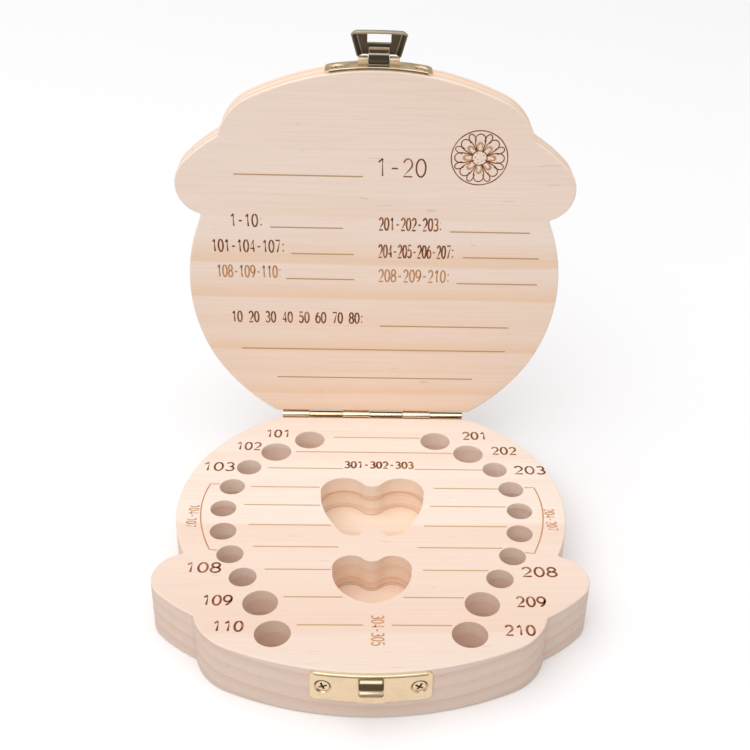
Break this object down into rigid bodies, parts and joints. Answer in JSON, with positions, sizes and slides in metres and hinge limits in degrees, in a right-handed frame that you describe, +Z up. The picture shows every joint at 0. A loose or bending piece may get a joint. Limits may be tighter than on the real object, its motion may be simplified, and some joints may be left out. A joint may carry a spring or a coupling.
{
  "type": "tooth keepsake box",
  "caption": "Wooden keepsake box in the outline of a round face, with drilled wells and two pockets under a hinged lid, and a brass lever latch.",
  "frame": {"origin": "middle of the block's underside, where the box rests", "axes": "+X to the right, +Y to the hinge at the back, +Z up; the lid stands open and the lever stands up"},
  "size_m": [0.1266, 0.1378, 0.1511],
  "materials": {
    "pine_block": "bare sanded pine, pale",
    "pine_lid": "bare sanded pine, a little warmer",
    "brass": "pale brass plating, bright",
    "lever_brass": "pale brass plating, bright"
  },
  "bodies": {
    "base": {"base_block": "pine_block", "hinge_base_leaf": "brass", "hinge_pin": "brass", "hinge_base_nail_left": "brass", "hinge_base_nail_middle": "brass", "hinge_base_nail_right": "brass", "catch_plate": "brass", "catch_screw_left": "brass", "catch_screw_right": "brass"},
    "lid": {"lid_board": "pine_lid", "hinge_lid_leaf": "brass", "hinge_lid_nail_left": "brass", "hinge_lid_nail_middle": "brass", "hinge_lid_nail_right": "brass", "latch_plate": "brass", "latch_pin": "brass", "latch_screw_left": "brass", "latch_screw_right": "brass"},
    "lever": {"latch_lever": "lever_brass"}
  },
  "joints": [
    {"name": "lid_hinge", "type": "hinge", "parent": "base", "child": "lid", "pos_m": [0, 0.0615, 0.01715], "axis": [-1, 0, 0], "range_deg": [-91, 89]},
    {"name": "lever_pivot", "type": "hinge", "parent": "lid", "child": "lever", "pos_m": [0, 0.06741, 0.14086], "axis": [-1, 0, 0], "range_deg": [-65, 95]}
  ]
}
